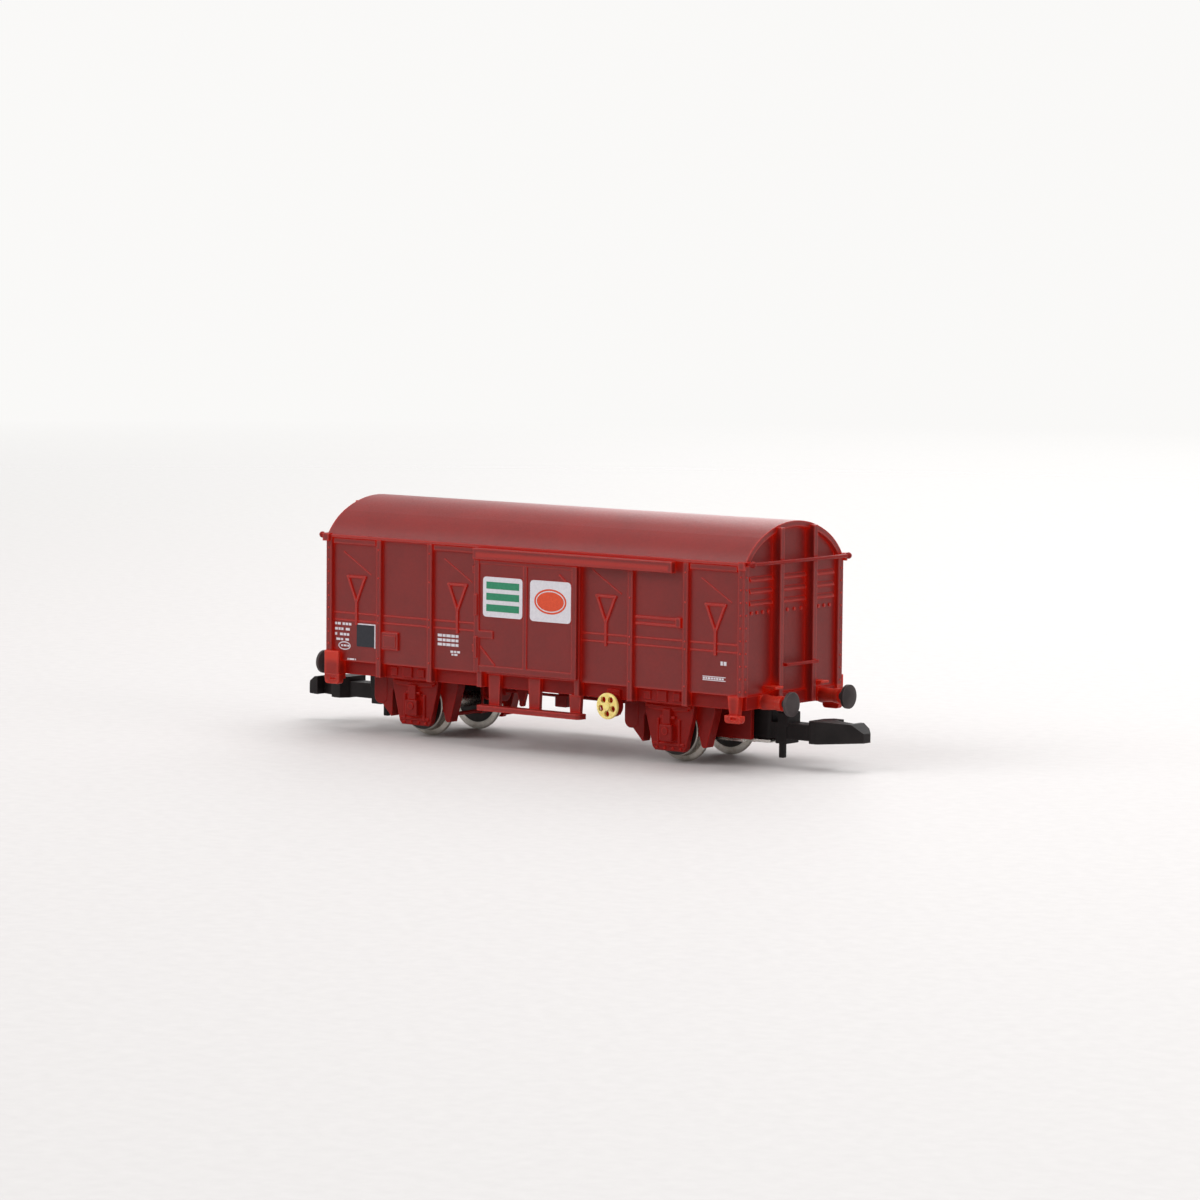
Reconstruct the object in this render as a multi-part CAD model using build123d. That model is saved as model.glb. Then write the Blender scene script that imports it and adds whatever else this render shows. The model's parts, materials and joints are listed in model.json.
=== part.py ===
from build123d import *
import math
import os

# Z gauge (1:220, 6.5 mm track) two-axle covered goods wagon with sliding doors.
# Origin: centre of the wagon, at the lowest point of the wheel flanges.
# +X runs along the wagon towards its front end, the near side faces -Y, +Z is up.
# The two sides and the two ends repeat by half a turn about Z.

os.makedirs("parts", exist_ok=True)

# ---- driving dimensions, mm ----
WHEELBASE = 25.9
TREAD_R = 2.1
FLANGE_DEPTH = 0.5
BACK_TO_BACK = 5.8
WHEEL_WIDTH = 1.2
BODY_LENGTH = 42.4
PANEL_Y = 6.3            # outer face of the side sheeting
POST_Y = 6.6             # outer face of the side posts
WALL = 0.6
BODY_BOTTOM = 5.9
EAVE_Z = 16.0
ROOF_TOP = 19.17
ROOF_THICKNESS = 0.45
FRAME_BOTTOM = 4.8
FLOOR_BOTTOM = 5.6
FLOOR_TOP = 6.0
WEIGHT_TOP = 6.6
LOAD_FLOOR_TOP = 6.85
BUFFER_Y = 3.8
BUFFER_Z = 5.34
BUFFER_FACE_X = 24.05
DOOR_HALF = 5.2
DOOR_TRAVEL = 9.4
COUPLER_Z = 2.1          # underside of the coupler
PIVOT_X = 16.1           # coupler pivot

# ---- values worked out from them ----
AXLE_X = WHEELBASE / 2
AXLE_Z = TREAD_R + FLANGE_DEPTH
FLANGE_R = TREAD_R + FLANGE_DEPTH
HALF_BODY = BODY_LENGTH / 2
END_PANEL_X = HALF_BODY - 0.35
END_INNER_X = END_PANEL_X - WALL
INNER_Y = PANEL_Y - WALL
WHEEL_IN_Y = BACK_TO_BACK / 2
WHEEL_OUT_Y = WHEEL_IN_Y + WHEEL_WIDTH
POST_WIDTH = 0.5
POST_CENTRES = (-15.58, -10.19, -4.95, 4.95, 10.19, 15.58)
CORNER_POST_WIDTH = 0.6
END_POST_Y = 2.2
END_POST_FACE_X = HALF_BODY + 0.45
DOORWAY_HALF = 4.7
DOOR_BACK_Y = 6.68
DOOR_SHEET_Y = 6.88
DOOR_FRAME_Y = 7.0
RAIL_Y = 7.15
RAIL_LEFT = -DOOR_HALF - 0.06
RAIL_RIGHT = DOOR_HALF + DOOR_TRAVEL + 0.03


# ---- helpers ----
def block(x0, x1, y0, y1, z0, z1):
    """Plain rectangular block between two corners."""
    centre = Pos((x0 + x1) / 2, (y0 + y1) / 2, (z0 + z1) / 2)
    return centre * Box(x1 - x0, y1 - y0, z1 - z0)


def soft_block(x0, x1, y0, y1, z0, z1, radius):
    """Rectangular block with every edge rounded."""
    shape = block(x0, x1, y0, y1, z0, z1)
    return fillet(shape.edges(), radius)


def near(x0, x1, y_in, y_out, z0, z1):
    """Block on the near side, with its depths given as distances from the centre line."""
    return block(x0, x1, -y_out, -y_in, z0, z1)


def soft_near(x0, x1, y_in, y_out, z0, z1, radius=0.06):
    """Near-side block whose outer edges are rounded."""
    shape = near(x0, x1, y_in, y_out, z0, z1)
    outer = shape.faces().sort_by(Axis.Y)[0]
    return fillet(outer.edges(), radius)


def near_plate(outline, y_in, y_out):
    """Plate cut to a flat outline in X and Z, standing on the near side."""
    return extrude(Plane.XZ.offset(y_in) * outline, amount=y_out - y_in)


def end_plate(outline, x_in, x_out):
    """Plate cut to a flat outline in Y and Z, standing across the wagon."""
    return extrude(Plane.YZ.offset(x_in) * outline, amount=x_out - x_in)


def polygon(points):
    return make_face(Polyline(*points, close=True))


def strip(x0, z0, x1, z1, width):
    """Flat outline of a straight rib between two points."""
    length = math.hypot(x1 - x0, z1 - z0)
    angle = math.degrees(math.atan2(z1 - z0, x1 - x0))
    return Pos((x0 + x1) / 2, (z0 + z1) / 2) * Rot(0, 0, angle) * Rectangle(length, width)


def rod_x(x0, x1, y, z, radius):
    return Pos((x0 + x1) / 2, y, z) * Rot(0, 90, 0) * Cylinder(radius, x1 - x0)


def rod_y(x, y0, y1, z, radius):
    return Pos(x, (y0 + y1) / 2, z) * Rot(90, 0, 0) * Cylinder(radius, y1 - y0)


def rod_z(x, y, z0, z1, radius):
    return Pos(x, y, (z0 + z1) / 2) * Cylinder(radius, z1 - z0)


def turned(shape):
    """The same piece at the other side or end: half a turn about Z."""
    return Rot(0, 0, 180) * shape


def mirrored_y(shape):
    return mirror(shape, about=Plane.XZ)


def four_corners(shape):
    return [shape, mirrored_y(shape), turned(shape), turned(mirrored_y(shape))]


def joined(pieces):
    """One solid made of touching pieces."""
    return Part() + list(pieces)


# ---- roof profile: a crown arc with a tighter shoulder arc on each side ----
CROWN_R = 9.2
SHOULDER_R = 5.69
CROWN_ANGLE = math.radians(28.6)
SHOULDER_ANGLE = math.radians(58.0)
CROWN_Z = ROOF_TOP - CROWN_R
GUTTER_STOP_X = HALF_BODY + 0.18
SHOULDER_Y = (CROWN_R - SHOULDER_R) * math.sin(CROWN_ANGLE)
SHOULDER_Z = CROWN_Z + (CROWN_R - SHOULDER_R) * math.cos(CROWN_ANGLE)


def shoulder_point(angle, drop):
    radius = SHOULDER_R - drop
    return (SHOULDER_Y + radius * math.sin(angle), SHOULDER_Z + radius * math.cos(angle))


def roof_face(drop, foot_angle=SHOULDER_ANGLE):
    """Area under the roof curve, with the curve lowered by drop, down to the curve's feet."""
    foot = shoulder_point(foot_angle, drop)
    middle = shoulder_point((foot_angle + CROWN_ANGLE) / 2, drop)
    join = shoulder_point(CROWN_ANGLE, drop)
    crown = (0, ROOF_TOP - drop)
    right = ThreePointArc(foot, middle, join)
    top = ThreePointArc(join, crown, (-join[0], join[1]))
    left = ThreePointArc((-join[0], join[1]), (-middle[0], middle[1]), (-foot[0], foot[1]))
    base = Line((-foot[0], foot[1]), foot)
    return make_face(right + top + left + base)


def roof():
    outer = end_plate(roof_face(0), -HALF_BODY, HALF_BODY)
    wide_foot = math.radians(75)
    inner = end_plate(roof_face(ROOF_THICKNESS, wide_foot), -HALF_BODY - 1, HALF_BODY + 1)
    shell = outer - inner - block(-30, 30, -9, 9, EAVE_Z - 4, EAVE_Z)
    gutter = joined(
        block(-HALF_BODY, HALF_BODY, y - 0.26, y + 0.26, EAVE_Z, EAVE_Z + 0.22) for y in (-6.36, 6.36)
    )
    stop = block(20.75, GUTTER_STOP_X, -6.84, -6.1, EAVE_Z, EAVE_Z + 0.3)
    stop += block(20.75, GUTTER_STOP_X, -6.84, -POST_Y, EAVE_Z - 0.32, EAVE_Z)
    stops = four_corners(stop)
    under_roof = end_plate(roof_face(ROOF_THICKNESS / 2), -HALF_BODY, HALF_BODY)
    lugs = []
    for x in (-17, -8.5, 0, 8.5, 17):
        for side in (-1, 1):
            y = side * (INNER_Y - 0.22)
            upper = block(x - 1, x + 1, y - 0.17, y + 0.17, EAVE_Z, EAVE_Z + 1.6) & under_roof
            lower = block(x - 1, x + 1, y - 0.17, y + 0.17, EAVE_Z - 0.8, EAVE_Z + 0.1)
            lugs += [upper, lower]
    return joined([shell, gutter] + stops + lugs)


# ---- body shell ----
def y_brace(x, side_top=12.85):
    """Raised Y-shaped side brace: top bar, two arms and a tail."""
    apex = side_top - 2.1
    pieces = [
        strip(x - 1.02, side_top, x + 1.02, side_top, 0.16),
        strip(x - 0.9, side_top, x, apex, 0.17),
        strip(x + 0.9, side_top, x, apex, 0.17),
        strip(x, apex + 0.1, x, 8.95, 0.2),
    ]
    return joined(near_plate(p, PANEL_Y - 0.05, PANEL_Y + 0.12) for p in pieces)


def braced_bay(x0, x1, brace_x):
    """Bay with a vent flap under the eave, a Y brace and a pressed diagonal."""
    flap = soft_near(x0 + 0.1, x1 - 0.15, PANEL_Y - 0.1, PANEL_Y + 0.2, 15.5, 15.96, 0.05)
    diagonal = strip(brace_x - 1.4, 14.85, brace_x + 1.5, 13.1, 0.09)
    return [flap, y_brace(brace_x), near_plate(diagonal, PANEL_Y - 0.05, PANEL_Y + 0.04)]


def waist_ribs(x0, x1):
    """Two fine pressed ribs along the lower half of a bay."""
    return [near(x0, x1, PANEL_Y - 0.05, PANEL_Y + 0.06, z - 0.05, z + 0.05) for z in (9.25, 9.85)]


def side_relief():
    """Everything that stands proud of the near side sheeting."""
    edges = [-20.6] + list(POST_CENTRES) + [20.6]
    pieces = []
    for x in POST_CENTRES:
        left = x - POST_WIDTH / 2
        right = x + POST_WIDTH / 2
        pieces.append(soft_near(left, right, PANEL_Y - 0.1, POST_Y, BODY_BOTTOM, EAVE_Z, 0.07))
        pieces.append(soft_near(left, right, 5.92, POST_Y, FRAME_BOTTOM, BODY_BOTTOM + 0.1, 0.07))
    for index in (0, 1, 2, 4, 5, 6):
        pieces += waist_ribs(edges[index], edges[index + 1])
    pieces += braced_bay(-20.6, -15.83, -18.1)
    pieces += braced_bay(-9.94, -5.2, -7.42)
    pieces += braced_bay(5.2, 9.94, 7.67)
    pieces += braced_bay(15.83, 20.6, 18.34)
    for z in (10.95, 11.46):
        pieces.append(near(10.6, 15.1, PANEL_Y - 0.05, PANEL_Y + 0.1, z - 0.08, z + 0.08))
    pieces.append(soft_near(14.6, 15.1, PANEL_Y - 0.05, PANEL_Y + 0.25, 10.85, 11.6, 0.05))
    pieces.append(soft_near(-15.4, -13.6, PANEL_Y - 0.05, PANEL_Y + 0.2, 7.12, 8.55, 0.05))
    pieces.append(near(-15.1, -13.8, PANEL_Y, PANEL_Y + 0.24, 7.35, 8.3))
    for z in (14.2, 7.9):
        pieces.append(soft_near(-5.75, -5.25, PANEL_Y - 0.05, PANEL_Y + 0.25, z - 0.3, z + 0.3, 0.05))
    return pieces


def corner_posts():
    """Angle posts at the four corners, covering both the side and the end sheeting."""
    inner = HALF_BODY - CORNER_POST_WIDTH
    along = block(inner, HALF_BODY, -POST_Y, -5.92, BODY_BOTTOM, EAVE_Z)
    along = fillet(along.edges().filter_by(Axis.Z), 0.08)
    return four_corners(along)


def end_relief(roof_shape):
    """Posts, pressed ribs and rivets on the front end sheeting."""
    pieces = []
    for side in (-1, 1):
        y0 = side * END_POST_Y - 0.26
        y1 = side * END_POST_Y + 0.26
        upper = block(END_PANEL_X - 0.1, END_POST_FACE_X, y0, y1, BODY_BOTTOM, ROOF_TOP - 0.42)
        lower = block(HALF_BODY - 0.18, END_POST_FACE_X, y0, y1, FRAME_BOTTOM + 0.2, BODY_BOTTOM)
        post = upper + lower
        face = post.faces().sort_by(Axis.X)[-1]
        pieces.append(fillet(face.edges(), 0.07) - roof_shape)
    panels = ((-5.55, -2.6), (-1.8, 1.8), (2.6, 5.55))
    wedge = ((-0.05, 0.17), (0.06, 0.17), (0.2, -0.08), (0.2, -0.17), (-0.05, -0.17))
    for y0, y1 in panels:
        for z in (14.9, 13.97, 13.05):
            outline = polygon([(END_PANEL_X + dx, z + dz) for dx, dz in wedge])
            pieces.append(extrude(Plane.XZ.offset(-y1) * outline, amount=y1 - y0))
        count = 4
        for k in range(count):
            y = y0 + (y1 - y0) * (k + 0.5) / count
            pieces.append(rod_x(END_PANEL_X - 0.05, END_PANEL_X + 0.1, y, 12.27, 0.13))
    return pieces


def body_shell(roof_shape):
    """Sides and ends in one moulding, open at the top and bottom, with a doorway in each side."""
    walls = block(-END_PANEL_X, END_PANEL_X, -PANEL_Y, PANEL_Y, BODY_BOTTOM, EAVE_Z)
    wide_foot = math.radians(66)
    gable = roof_face(ROOF_THICKNESS + 0.02, wide_foot)
    gables = end_plate(gable, -END_PANEL_X, END_PANEL_X)
    gables = gables & block(-30, 30, -INNER_Y, INNER_Y, EAVE_Z - 0.5, ROOF_TOP)
    hollow = block(-END_INNER_X, END_INNER_X, -INNER_Y, INNER_Y, 0, ROOF_TOP + 1)
    relief = side_relief()
    ends = end_relief(roof_shape)
    pieces = [walls + gables - hollow]
    pieces += relief
    pieces += [turned(p) for p in relief]
    pieces += corner_posts()
    pieces += ends
    pieces += [turned(p) for p in ends]
    shell = joined(pieces)
    doorway = block(-DOORWAY_HALF, DOORWAY_HALF, -9, 9, LOAD_FLOOR_TOP, 15.0)
    return shell - doorway


# ---- doors and their rails ----
def door():
    """Near-side sliding door, hung from a hooked tongue that runs in the rail."""
    top = 15.05
    sheet = near(-DOOR_HALF, DOOR_HALF, DOOR_BACK_Y, DOOR_SHEET_Y, 6.11, top)
    tongue = near(-4.6, 4.6, 6.7, 6.8, 14.9, 15.5)
    hook = near(-4.6, 4.6, 6.7, 6.93, 15.32, 15.58)
    pieces = [sheet, tongue, hook]
    for x in (-4.95, 4.95):
        pieces.append(soft_near(x - 0.25, x + 0.25, 6.8, DOOR_FRAME_Y, 6.11, top, 0.05))
    pieces.append(soft_near(-5.15, 5.15, 6.8, DOOR_FRAME_Y - 0.04, 6.11, 6.62, 0.05))
    pieces.append(near(-4.8, 4.8, 6.8, DOOR_SHEET_Y + 0.04, 14.75, top))
    pieces.append(near(-0.2, 0.17, 6.8, DOOR_SHEET_Y + 0.07, 6.3, 14.8))
    pieces.append(soft_near(-4.85, -3.25, 6.8, DOOR_SHEET_Y + 0.12, 8.8, 9.4, 0.05))
    pieces.append(soft_near(-5.12, -4.8, 6.9, RAIL_Y, 10.6, 12.3, 0.05))
    pieces.append(soft_near(-5.12, -4.8, 6.9, RAIL_Y, 7.2, 8.9, 0.05))
    creases = ((-4.6, 8.1, -3.1, 6.7), (3.4, 14.3, 4.6, 13.4))
    for x0, z0, x1, z1 in creases:
        pieces.append(near_plate(strip(x0, z0, x1, z1, 0.13), 6.8, DOOR_SHEET_Y + 0.06))
    return joined(pieces)


def door_rail():
    """Near-side door rail: a channel that opens downwards, with a ledge for the door's hook."""
    top = EAVE_Z - 0.02
    roof_plate = near(RAIL_LEFT, RAIL_RIGHT, POST_Y, RAIL_Y, 15.66, top)
    lip = near(RAIL_LEFT, RAIL_RIGHT, 7.0, RAIL_Y, 15.1, top)
    ledge = near(RAIL_LEFT, RAIL_RIGHT, 6.87, 7.02, 15.1, 15.26)
    stop_left = near(RAIL_LEFT, RAIL_LEFT + 0.3, POST_Y, RAIL_Y, 15.1, top)
    stop_right = near(RAIL_RIGHT - 0.3, RAIL_RIGHT, POST_Y, RAIL_Y, 15.1, top)
    channel = joined([roof_plate, lip, ledge, stop_left, stop_right])
    outer = channel.faces().sort_by(Axis.Y)[0]
    return fillet(outer.edges(), 0.06)


# ---- chassis ----
def coupler_pocket():
    """Box under the front end that holds the coupler's tail, with the pivot pin inside it."""
    outer = block(14.4, 18.6, -1.9, 1.9, 2.05, FLOOR_BOTTOM)
    inner = block(14.75, 19.0, -1.55, 1.55, 1.0, FLOOR_BOTTOM - 0.5)
    pin = rod_z(PIVOT_X, 0, 2.05, FLOOR_BOTTOM, 0.45)
    box = fillet((outer - inner).edges().filter_by(Axis.Z).group_by(Axis.X)[0], 0.15)
    return box + pin


def frame_end():
    """Front headstock, pocket and end cross members."""
    headstock = block(20.3, 21.02, -5.9, 5.9, FRAME_BOTTOM + 0.05, BODY_BOTTOM - 0.02)
    tie = block(20.0, 20.4, -5.6, 5.6, FRAME_BOTTOM + 0.6, FLOOR_TOP - 0.1)
    return [headstock, tie, coupler_pocket()]


def spring_brackets(x):
    """Spring seat and two shackle brackets on the near solebar above an axle."""
    return [
        soft_near(x - 0.48, x + 0.48, 5.85, 6.04, 4.95, 5.82, 0.05),
        soft_near(x - 1.75, x - 1.1, 5.85, 6.02, 5.05, 5.7, 0.05),
        soft_near(x + 1.1, x + 1.75, 5.85, 6.02, 5.05, 5.7, 0.05),
    ]


def chassis_frame():
    floor = block(-20.2, 20.2, -5.65, 5.65, FLOOR_BOTTOM, FLOOR_TOP)
    sole = block(-20.9, 20.9, -5.9, -5.3, FRAME_BOTTOM, BODY_BOTTOM - 0.02)
    lip = block(-20.9, 20.9, -5.9, -5.2, FRAME_BOTTOM, FRAME_BOTTOM + 0.15)
    end = frame_end()
    pieces = [floor, sole, lip, turned(sole), turned(lip)]
    for x in (-AXLE_X, AXLE_X):
        brackets = spring_brackets(x)
        pieces += brackets
        pieces += [turned(b) for b in brackets]
    pieces += end
    pieces += [turned(p) for p in end]
    for x in (-7.4, -3.6, 3.6, 7.4):
        pieces.append(block(x - 0.2, x + 0.2, -5.4, 5.4, FRAME_BOTTOM + 0.3, FLOOR_BOTTOM + 0.1))
    for y in (-1.9, 1.9):
        pieces.append(block(-7.4, 7.4, y - 0.15, y + 0.15, FRAME_BOTTOM + 0.3, FLOOR_BOTTOM + 0.1))
    for x in (-6, 6):
        pieces.append(rod_z(x, 0, FLOOR_TOP - 0.1, WEIGHT_TOP, 0.6))
    return joined(pieces)


def ballast_weight():
    """Steel plate on the floor, located by the floor's two spigots."""
    plate = block(-19.6, 19.6, -5.3, 5.3, FLOOR_TOP, WEIGHT_TOP)
    plate = fillet(plate.edges().filter_by(Axis.Z), 0.8)
    for x in (-6, 6):
        plate -= rod_z(x, 0, FLOOR_TOP - 1, WEIGHT_TOP + 1, 0.66)
    return plate


def load_floor():
    """Planked floor of the load space, above the weight."""
    board = block(-20.15, 20.15, -5.62, 5.62, WEIGHT_TOP, LOAD_FLOOR_TOP)
    grooves = []
    count = 27
    for k in range(1, count):
        x = -20.15 + 40.3 * k / count
        grooves.append(block(x - 0.05, x + 0.05, -6, 6, LOAD_FLOOR_TOP - 0.06, LOAD_FLOOR_TOP + 1))
    return board - joined(grooves)


# ---- axle guards, springs and axleboxes ----
def leaf_spring(z_buckle):
    """Laminated bearing spring seen from the side: two packs of leaves, the longer one on top."""
    leaves = []
    for k in range(2):
        half = 2.2 - 0.3 * k
        top = z_buckle - 0.17 * k
        rise = 0.09 * half / 2.2
        upper = ThreePointArc((-half, top + rise), (0, top), (half, top + rise))
        right = Line((half, top + rise), (half, top + rise - 0.17))
        lower = ThreePointArc((half, top + rise - 0.17), (0, top - 0.17), (-half, top + rise - 0.17))
        left = Line((-half, top + rise - 0.17), (-half, top + rise))
        leaves.append(make_face(upper + right + lower + left))
    return leaves


def axle_guard():
    """Near-side axle guard centred on X = 0, with spring, buckle, axlebox and keep."""
    right = [(2.4, FLOOR_BOTTOM), (2.38, 4.4), (2.27, 3.7), (1.86, 2.1), (1.65, 1.25), (1.4, 0.98)]
    left = [(-x, z) for x, z in reversed(right)]
    plate = near_plate(polygon(right + left), 4.5, 5.0)
    plate = fillet(plate.faces().sort_by(Axis.Y)[0].edges(), 0.08)
    pieces = [plate]
    for k, leaf in enumerate(leaf_spring(4.5)):
        pieces.append(near_plate(leaf, 4.95, 5.2 - 0.02 * k))
    pieces.append(soft_near(-0.36, 0.36, 4.95, 5.42, 3.1, 4.3, 0.07))
    pieces.append(soft_near(-0.7, 0.7, 4.95, 5.3, 3.55, 3.75, 0.05))
    box = near(-0.62, 0.62, 4.95, 5.55, 1.8, 3.1)
    box = fillet(box.edges().filter_by(Axis.Y), 0.16)
    box = fillet(box.faces().sort_by(Axis.Y)[0].edges(), 0.1)
    pieces.append(box)
    pieces.append(rod_y(0, -5.62, -5.4, AXLE_Z, 0.3))
    for side in (-1, 1):
        pieces.append(soft_near(side * 1.02 - 0.1, side * 1.02 + 0.1, 4.95, 5.14, 1.4, 3.5, 0.05))
        pieces.append(rod_y(side * 1.15, -5.08, -4.9, 1.2, 0.1))
        pieces.append(rod_y(side * 0.4, -5.08, -4.9, 1.2, 0.1))
    pieces.append(soft_near(-1.5, 1.5, 4.95, 5.1, 1.4, 1.62, 0.05))
    guard = joined(pieces)
    return guard - rod_y(0, -5.0, -4.0, AXLE_Z, 0.36)


# ---- brake gear ----
def brake_hanger(outline):
    """Hanger and shoe cut to an outline about X = 0, in the plane of the tread on the near side."""
    plate = near_plate(polygon(outline), 3.35, 4.25)
    cutter = rod_y(0, -5, -3, AXLE_Z, TREAD_R + 0.2)
    return fillet((plate - cutter).faces().sort_by(Axis.Y)[0].edges(), 0.06)


def brake_shoes():
    """Four shoes of one wheelset, each hung from the floor, about X = 0."""
    right = brake_hanger([(1.83, FLOOR_BOTTOM), (3.9, FLOOR_BOTTOM), (3.86, 4.2), (3.08, 1.4), (2.8, 1.35),
                          (2.6, 1.45), (1.83, 4.2)])
    left = brake_hanger([(-4.4, FLOOR_BOTTOM), (-2.3, FLOOR_BOTTOM), (-2.3, 4.6), (-3.03, 3.5), (-3.07, 1.5),
                         (-3.2, 1.42), (-4.15, 2.4), (-4.4, 2.6)])
    cover = near(-4.95, -3.6, 3.7, 4.3, 2.4, FLOOR_BOTTOM)
    low = cover.edges().filter_by(Axis.Y).group_by(Axis.Z)[0]
    cover = fillet(low, 0.6)
    cover = fillet(cover.faces().sort_by(Axis.Y)[0].edges(), 0.07)
    solids = []
    for piece in (right, left + cover):
        solids.append(piece)
        solids.append(mirrored_y(piece))
    return solids


BEAM_SETBACK = 2.95


def brake_beam():
    """Cross beam that joins the two inner shoes of the front wheelset."""
    x = AXLE_X - BEAM_SETBACK
    beam = rod_y(x, -3.35, 3.35, 2.0, 0.16)
    eye = block(x - 0.3, x + 0.3, -0.35, 0.35, 1.8, 2.4)
    return beam + fillet(eye.edges().filter_by(Axis.Y), 0.12)


def brake_cylinder():
    """Vacuum brake cylinder slung along the centre line, with end flanges and straps."""
    x0 = -9.3
    x1 = -7.7
    y = 0
    z = 3.8
    barrel = rod_x(x0, x1, y, z, 0.76)
    covers = [rod_x(x0 - 0.12, x0 + 0.1, y, z, 0.88), rod_x(x1 - 0.1, x1 + 0.12, y, z, 0.88)]
    nose = rod_x(x1, x1 + 0.4, y, z, 0.35)
    straps = [block(x - 0.15, x + 0.15, -0.65, 0.65, z + 0.2, FLOOR_BOTTOM) for x in (-8.95, -8.15)]
    return joined([barrel, nose] + covers + straps)


def brake_valve():
    """Distributor valve: a small box hung from the frame."""
    box = soft_block(-0.25, 0.9, -2.75, -1.9, 3.27, 4.25, 0.08)
    neck = block(0.0, 0.65, -2.6, -2.05, 4.1, FLOOR_BOTTOM)
    return box + neck


def v_hanger():
    """V-shaped bracket under the near solebar, with a boss at its tip."""
    outline = polygon([(-3.35, FLOOR_BOTTOM), (-1.65, FLOOR_BOTTOM), (-2.3, 3.25), (-2.6, 3.25)])
    return joined([near_plate(outline, 3.95, 4.2), rod_y(-2.45, -4.26, -3.95, 3.45, 0.22)])


def brake_rods():
    """Rods from the brake cylinder to the drop arms of the two brake beams."""
    beam_x = AXLE_X - BEAM_SETBACK
    z = 3.8
    front = rod_x(-7.3, beam_x, 0, z, 0.12)
    rear = rod_x(-beam_x, -9.42, 0, z, 0.12)
    drops = [rod_z(x, 0, 2.4, z + 0.12, 0.12) for x in (beam_x, -beam_x)]
    return [front + drops[0], rear + drops[1]]


# ---- steps, treads and rails ----
def step_board():
    """Near-side running board under the door: tread and three hangers."""
    tread = near(-4.95, 5.6, 6.15, 7.1, 3.0, 3.43)
    outer = tread.edges().filter_by(Axis.Z).group_by(Axis.Y)[0]
    tread = fillet(outer, 0.4)
    tread = fillet(tread.faces().sort_by(Axis.Z)[-1].edges(), 0.07)
    pieces = [tread]
    for x0, x1, top in ((-4.2, -3.1, 5.85), (-0.1, 1.0, 5.85), (4.05, 5.1, FRAME_BOTTOM)):
        outline = polygon([(x0 - 0.05, top), (x1 + 0.05, top), (x1 - 0.05, 3.1), (x0 + 0.05, 3.1)])
        pieces.append(near_plate(outline, 5.9, 6.25))
    return joined(pieces)


def step_foot(x0, x1, z0, z1):
    """Foot plate of a near-side corner step: round lower corners and a shallow dish in its face."""
    foot = near(x0, x1, 6.3, 6.85, z0, z1)
    foot = fillet(foot.edges().filter_by(Axis.Y).group_by(Axis.Z)[0], 0.28)
    foot = fillet(foot.faces().sort_by(Axis.Y)[0].edges(), 0.07)
    middle = (x0 + x1) / 2 + 0.1
    dish = near(middle - 0.3, middle + 0.3, 6.72, 7.2, (z0 + z1) / 2 - 0.02, z1 - 0.12)
    return foot - dish


def narrow_step():
    """Step with a tapered leg, under the front near corner."""
    outline = polygon([(19.68, BODY_BOTTOM), (20.75, BODY_BOTTOM), (20.6, 4.3), (19.88, 4.3)])
    leg = near_plate(outline, 5.92, 6.5)
    return leg + step_foot(19.62, 21.2, 3.85, 4.45)


def wide_step():
    """Step whose leg is a broad plate that laps over the body, at the rear near corner."""
    lower = near(-21.2, -19.62, 5.92, 6.82, 4.4, BODY_BOTTOM)
    lap = near(-21.2, -19.62, POST_Y, 6.82, BODY_BOTTOM - 0.1, 6.7)
    leg = lower + lap
    outer = leg.faces().sort_by(Axis.Y)[0]
    leg = fillet(outer.edges(), 0.12)
    return leg + step_foot(-21.1, -19.55, 3.98, 4.8)


def corner_steps():
    narrow = narrow_step()
    wide = wide_step()
    return [narrow, wide, turned(narrow), turned(wide)]


def buffer_tread():
    """Step plate above one buffer, on two small gussets."""
    plate = soft_block(END_PANEL_X, 22.1, -3.55, -2.5, 6.33, 6.55, 0.06)
    gussets = []
    for y in (-3.35, -2.7):
        outline = polygon([(END_PANEL_X, 6.0), (21.9, 6.38), (END_PANEL_X, 6.38)])
        gussets.append(extrude(Plane.XZ.offset(-y - 0.08) * outline, amount=0.16))
    return joined([plate] + gussets)


def end_handrail():
    """Rail across the front end at eave height, with a knob at each end and two stays."""
    x = 21.83
    z = 16.12
    rail = rod_y(x, -6.35, 6.35, z, 0.15)
    pieces = [rail]
    for side in (-1, 1):
        pieces.append(Pos(x, side * 6.35, z) * Sphere(0.26))
        pieces.append(block(GUTTER_STOP_X, x, side * 6.35 - 0.25, side * 6.35 + 0.25, z - 0.12, z + 0.12))
    return joined(pieces)


def end_grab():
    """Grab bar between the two front end posts."""
    z = 8.1
    x = END_POST_FACE_X + 0.12
    bar = soft_block(END_POST_FACE_X, END_POST_FACE_X + 0.24, -1.75, 2.46, z - 0.12, z + 0.12, 0.05)
    leg = block(END_PANEL_X, x, -1.75, -1.5, z - 0.12, z + 0.12)
    return bar + leg


# ---- buffers ----
def buffer_housing():
    """Housing of the front near buffer: base plate, tapered barrel and collar."""
    start = HALF_BODY - 0.18
    base = block(start, start + 0.22, -BUFFER_Y - 0.62, -BUFFER_Y + 0.62, BUFFER_Z - 0.5, BUFFER_Z + 0.56)
    base = fillet(base.edges().filter_by(Axis.X), 0.12)
    cone = Pos(start + 0.85, -BUFFER_Y, BUFFER_Z) * Rot(0, 90, 0) * Cone(0.62, 0.5, 1.5)
    collar = rod_x(22.55, 23.05, -BUFFER_Y, BUFFER_Z, 0.58)
    bore = rod_x(21.6, 24, -BUFFER_Y, BUFFER_Z, 0.3)
    return joined([base, cone, collar]) - bore


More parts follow.
